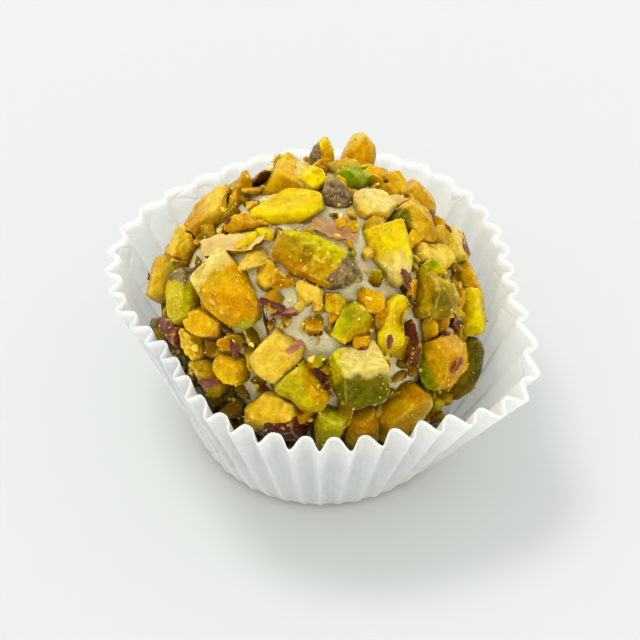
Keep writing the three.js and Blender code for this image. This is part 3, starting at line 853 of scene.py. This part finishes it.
bare_ways = [on_ball(*bare) for bare in BARE_FUDGE]
placed = []
tries = 0
while len(placed) < CHIPS and tries < MOST_TRIES:
    tries += 1
    out = any_way()
    if out.z < LOWEST:
        continue
    ground = surface(fudge_tree, out)[0]
    nut = surface(nut_tree, out)[0]
    if nut is not None and (nut - BALL_CENTRE).length > (ground - BALL_CENTRE).length:
        continue
    span = chance.uniform(*CHIP_SPANS) * MM
    if any((ground - other).length < 0.32 * (span + wide) for other, wide in placed):
        continue
    if any(out.angle(bare) < (1 * MM + 0.35 * span) / FUDGE_REACH for bare in bare_ways):
        continue
    if ground.z > cad_box[1][2] - span or paper_tree.find_nearest(ground)[3] < span * 0.8:
        continue
    placed.append((ground, span))
    size = [span, span * chance.uniform(0.45, 0.8), span * chance.uniform(0.4, 0.7)]
    size = inside_paper(size, ground)
    seat = stand_on(out, chance.uniform(0, math.tau), ground + out * size[2] * 0.3)
    seat = seat @ Matrix.Rotation(chance.uniform(-0.9, 0.9), 4, "Y")
    chip(batches[chance.choice(CHIP_FLESH)], size, seat)

small_pieces = []
for number, (slot, batch) in enumerate(batches.items()):
    crisp = into_scene("fine_" + slot, mesh_of("fine_" + slot, batch))
    even_out(crisp, CHIP_CELL)
    mesh = without_specks(with_modifiers(crisp))
    bpy.data.objects.remove(crisp)
    places, normals = positions(mesh)
    swell = 0.08 * MM * grain(places, 1.2 * MM, number + 200)
    swell += 0.07 * MM * grit(places, 0.6 * MM, number + 220)
    places = places + normals * swell[:, None]
    places[:, 2] = np.minimum(places[:, 2], cad_box[1][2] - UNDER_TOP)
    reshape(mesh, places)
    mark(mesh, "broken", (0.5 + grain(places, 1.5 * MM, number + 240)) * (slot != "skin_nut"))
    mark(mesh, "toast", 1.6 * grain(places, 2.5 * MM, number + 260))
    mark(mesh, "green", 2 * grain(places, 3 * MM, number + 280) - 0.4)
    mark(mesh, "skin", 4 * grain(places, 3 * MM, number + 300) - 1.4)
    small_pieces.append(piece_of("fine_pistachio_" + slot[:-4], mesh, nut_materials[slot]))


# ---- The nut skins
# Rags of the kernels' own thin skin, rubbed off in the chopping: papery, 0.06 mm thick,
# curled as they dried, and stuck where they fell on the fudge and the nuts.

# Azimuth and latitude on the ball, length and width in mm, turn, curl, and its tone from
# 0, dark purple, to 1, pinkish tan.
SKINS = [
    (204, 57, 8.0, 2.4, 62, 0.5, 1.0),
    (246, 40, 3.8, 0.45, 120, 1.2, 0.1),
    (250, 43, 3.0, 0.4, 75, 1.2, 0.15),
    (255, 44, 2.8, 0.4, 20, 1.2, 0.2),
    (248, 47, 3.0, 0.9, 150, 0.9, 0.1),
    (254, 45, 3.0, 1.0, 30, 0.7, 0.6),
    (300, 76, 5.2, 2.4, 125, 0.5, 0.65),
    (283, 67, 3.0, 1.4, 150, 0.7, 0.5),
    (25, 66, 3.0, 1.8, 20, 0.7, 0.1),
    (18, 58, 2.6, 1.4, 160, 0.5, 1.0),
    (272, 23, 3.6, 2.4, 150, 0.5, 0.2),
    (224, 24, 2.6, 1.2, 50, 0.8, 0.4),
    (236, 27, 2.0, 1.1, 120, 0.9, 0.1),
    (231, 12, 2.2, 1.2, 20, 0.8, 0.2),
    (322, 47, 2.6, 1.2, 100, 0.8, 0.1),
    (262, 34, 2.2, 1.0, 20, 0.8, 0.5),
    (300, 32, 1.6, 0.7, 80, 0.6, 0.2),
    (322, 13, 2.2, 0.9, 15, 0.6, 0.3),
]
SKINS_AT_BACK = 12
SKIN = 0.06 * MM


def skin_rag(batch, length, width, curl, tone, seat, origin):
    """One rag: a sheet with a torn outline, rolled about its length."""
    roll = curl * 1.3
    rag = bmesh.ops.create_grid(batch, x_segments=26, y_segments=12, size=0.5)["verts"]
    for vert in rag:
        along, across = vert.co.x * 2, vert.co.y * 2
        torn = noise.noise(Vector((along * 2, across * 0.7, origin)))
        torn += 0.5 * noise.noise(Vector((along * 7, across, origin + 3)))
        across *= 0.95 - 0.5 * abs(along) ** 2.5 + 0.5 * torn
        bend = across * roll
        x = along * length / 2 + 0.12 * length * noise.noise(Vector((across * 2, 3, origin)))
        y = math.sin(bend) / roll * width / 2
        z = (1 - math.cos(bend)) / roll * width / 2
        z += 0.16 * length * noise.noise(Vector((along, across, origin + 7)))
        z += 0.09 * width * noise.noise(Vector((along * 4, across * 3, origin + 11)))
        vert.co = Vector((x, y, z))
        vert[batch.verts.layers.float["tone"]] = tone
    bmesh.ops.transform(batch, matrix=seat, verts=rag)


skins = bmesh.new()
skins.verts.layers.float.new("tone")
small_tree = tree_of(small_pieces + pistachio_pieces + [fudge])
rags = list(SKINS)
while len(rags) < len(SKINS) + SKINS_AT_BACK:
    out = any_way()
    if out.z > -0.3 and out.y > 0.1:  # the back half, and not far down
        rags.append((math.degrees(math.atan2(out.y, out.x)), math.degrees(math.asin(out.z)),
                     chance.uniform(0.8, 2.2), chance.uniform(0.4, 0.9), chance.uniform(0, 360),
                     chance.uniform(0.2, 0.6), 0.5 * chance.random()))
for number, (azimuth, latitude, length, width, turn, curl, tone) in enumerate(rags):
    out = on_ball(azimuth, latitude)
    ground, normal, _, _ = surface(small_tree, out)
    # Those at the back lie flatter and keep off the crown.
    below_top, raised = (1.5 * MM, 0.2 * MM) if number < len(SKINS) else (4 * MM, 0)
    if ground.z > cad_box[1][2] - below_top or paper_tree.find_nearest(ground)[3] < 1.5 * MM:
        continue
    lift = (out + normal).normalized()
    seat = stand_on(lift, math.radians(turn), ground + lift * raised)
    skin_rag(skins, length * MM, width * MM, curl, tone, seat, number * 3.7)
for face in skins.faces:
    face.smooth = True


def seed_skin():
    """Pistachio seed coat: dry and papery with a dull sheen, wrinkled every 0.3 mm, from deep
    purple to the pinkish tan of its inside."""
    material, tree, shader, place = new_material("seed_skin")
    tone = add_node(tree, "ShaderNodeAttribute", attribute_name="tone").outputs["Fac"]
    blotch = add_node(tree, "ShaderNodeTexNoise", {
        "Vector": place, "Scale": 1 / (0.9 * MM), "Detail": 3.0}).outputs["Fac"]
    share = add_node(tree, "ShaderNodeMath", {0: blotch, 1: 0.6, 2: tone}, operation="MULTIPLY_ADD")
    dusty = add_node(tree, "ShaderNodeMapRange", {
        "Value": share.outputs["Value"], "From Min": 0.25, "From Max": 0.75}).outputs["Result"]
    tanned = add_node(tree, "ShaderNodeMapRange", {
        "Value": share.outputs["Value"], "From Min": 0.75, "From Max": 1.3}).outputs["Result"]
    tint = add_node(tree, "ShaderNodeMix", {
        0: dusty, 6: colour("#4C1C22"), 7: colour("#A06450")}, data_type="RGBA").outputs[2]
    tint = add_node(tree, "ShaderNodeMix", {
        0: tanned, 6: tint, 7: colour("#E8C078")}, data_type="RGBA").outputs[2]
    wrinkle = add_node(tree, "ShaderNodeTexNoise", {
        "Vector": place, "Scale": 1 / (0.3 * MM), "Detail": 2.0, "Distortion": 1.0}).outputs["Fac"]
    bump = add_node(tree, "ShaderNodeBump", {
        "Height": wrinkle, "Strength": 0.5, "Distance": 0.06 * MM})
    fill_inputs(tree, shader, {
        "Base Color": tint, "Normal": bump.outputs["Normal"], "Roughness": 0.4,
        "Specular IOR Level": 0.3, "Subsurface Weight": 0.6,
        "Subsurface Radius": (1, 0.7, 0.4), "Subsurface Scale": 0.4 * MM})
    return material


nut_skins = piece_of("nut_skins", mesh_of("nut_skins", skins), seed_skin())
thicken(nut_skins, SKIN)


# ---- The nut crumbs
# What is left on the board when nuts are chopped: grains 0.35 to 0.85 mm across, most of
# them lodged in the cracks, and a pale dust of 0.12 to 0.27 mm that clings to every oily
# face.

GRAINS = 280
DUST = 2000
HANDFUL = 40
CRACK_REACH = 17.6 * MM          # what lies nearer the ball's centre is a crack
CRUMB_FLESH = ["#FBE65A", "#F4C838", "#E6A818", "#FBF0A0", "#C8AC10", "#A88410"]

crumbs = bmesh.new()
crumbs.verts.layers.float_color.new("crumb_colour")


def crumb(handful, size, out, detail, sunk):
    """One grain, stuck where the line from out to the ball's centre meets the sweet."""
    ground, normal, _, _ = surface(small_tree, out)
    if ground.z > cad_box[1][2] - 1.6 * size or paper_tree.find_nearest(ground)[3] < size:
        return
    lump = bmesh.ops.create_icosphere(handful, subdivisions=detail, radius=0.5)["verts"]
    origin = Vector([chance.uniform(0, 99) for _ in range(3)])
    tone = handful.verts.layers.float_color["crumb_colour"]
    tint = colour(chance.choice(CRUMB_FLESH))
    ways = [any_way() for _ in range(7)]
    for vert in lump:
        for way in ways:
            vert.co -= way * max(vert.co.dot(way) - 0.24, 0)
        vert.co *= 1.5 + 0.5 * noise.noise(vert.co * 2.2 + origin)
        vert[tone] = tint
    stretch = Matrix.Diagonal(
        (size * chance.uniform(0.7, 1.2), size * chance.uniform(0.6, 1), size, 1))
    seat = stand_on(normal, chance.uniform(0, math.tau), ground + normal * size * (0.5 - sunk))
    bmesh.ops.transform(handful, matrix=seat @ stretch, verts=lump)


def crack_nearby(out):
    """Whether the fudge lies open there, or a nut's side drops away."""
    return (surface(small_tree, out)[0] - BALL_CENTRE).length < CRACK_REACH


def scatter(count, smallest, largest, detail, sunk, everywhere):
    """Scatters crumbs of two sizes in mm, a handful at a time. sunk is the share of each
    that is pressed in, everywhere the share that may stick outside the cracks."""
    made = 0
    while made < count:
        handful = bmesh.new()
        handful.verts.layers.float_color.new("crumb_colour")
        for _ in range(HANDFUL):
            out = any_way()
            if out.z > LOWEST and (chance.random() < everywhere or crack_nearby(out)):
                crumb(handful, chance.uniform(smallest, largest) * MM, out, detail, sunk)
                made += 1
        join(handful, crumbs)


scatter(GRAINS, 0.35, 0.85, detail=2, sunk=0.2, everywhere=0.06)
scatter(DUST, 0.12, 0.27, detail=1, sunk=0.1, everywhere=1)


def nut_dust():
    """Ground pistachio: dry, matt grains from cream to amber."""
    material, tree, shader, place = new_material("nut_dust")
    tone = add_node(tree, "ShaderNodeAttribute", attribute_name="crumb_colour").outputs["Color"]
    mottle = add_node(tree, "ShaderNodeTexNoise", {
        "Vector": place, "Scale": 1 / (0.3 * MM), "Detail": 1.0}).outputs["Fac"]
    tint = add_node(tree, "ShaderNodeMix", {
        0: mottle, 6: tone, 7: colour("#F2CC40")}, data_type="RGBA").outputs[2]
    fill_inputs(tree, shader, {
        "Base Color": tint, "Roughness": 0.5, "Subsurface Weight": 0.2,
        "Subsurface Radius": (1, 0.7, 0.3), "Subsurface Scale": 0.3 * MM})
    return material


piece_of("nut_crumbs", mesh_of("nut_crumbs", crumbs), nut_dust())


# ---- The table and the light
# The sweet stands on a plain white table in a pale room that is brightest low down, so that
# the paper's walls are well lit. A broad soft window is high up, behind and to the left.

TABLE_HALF = 0.6
ROOM_AT_HORIZON = 1.6            # strength of the room's light
ROOM_OVERHEAD = 0.88
VIEW_CENTRE = Vector((-0.25, 0, 15.5)) * MM
VIEW_DISTANCE = 450 * MM

top = bmesh.new()
bmesh.ops.create_grid(top, x_segments=1, y_segments=1, size=TABLE_HALF)
table = into_scene("table", mesh_of("table", top))
laminate, tree, shader, _ = new_material("white_laminate")
fill_inputs(tree, shader, {
    "Base Color": colour("#D2D3D1"), "Roughness": 0.7, "Specular IOR Level": 0.2})
table.data.materials.append(laminate)

scene = bpy.context.scene
scene.view_settings.view_transform = "Standard"
scene.view_settings.look = "Medium High Contrast"
scene.world = bpy.data.worlds.new("soft_room")
scene.world.use_nodes = True
room = scene.world.node_tree
way = add_node(room, "ShaderNodeTexCoord").outputs["Generated"]
facing = add_node(room, "ShaderNodeVectorMath", {0: way, 1: (0, 0, 1)}, operation="DOT_PRODUCT")
level = add_node(room, "ShaderNodeMapRange", {
    "Value": facing.outputs["Value"], "From Min": 0, "From Max": 0.6,
    "To Min": ROOM_AT_HORIZON, "To Max": ROOM_OVERHEAD})
fill_inputs(room, room.nodes["Background"], {
    "Color": colour("#FBFDFC"), "Strength": level.outputs["Result"]})
window = bpy.data.objects.new("window", bpy.data.lights.new("window", "SUN"))
window.data.energy = 0.72
window.data.angle = math.radians(20)
window.rotation_euler = Vector((-0.28, 0.2, 0.9)).to_track_quat("Z", "Y").to_euler()
scene.collection.objects.link(window)

camera = bpy.data.objects.new("camera", bpy.data.cameras.new("camera"))
camera.data.sensor_width = 36
camera.data.lens = 227.1
camera.data.clip_start = 0.01
camera.location = VIEW_CENTRE + VIEW_DISTANCE * NEAR
camera.rotation_euler = (math.radians(45), 0, 0)
scene.collection.objects.link(camera)
scene.camera = camera
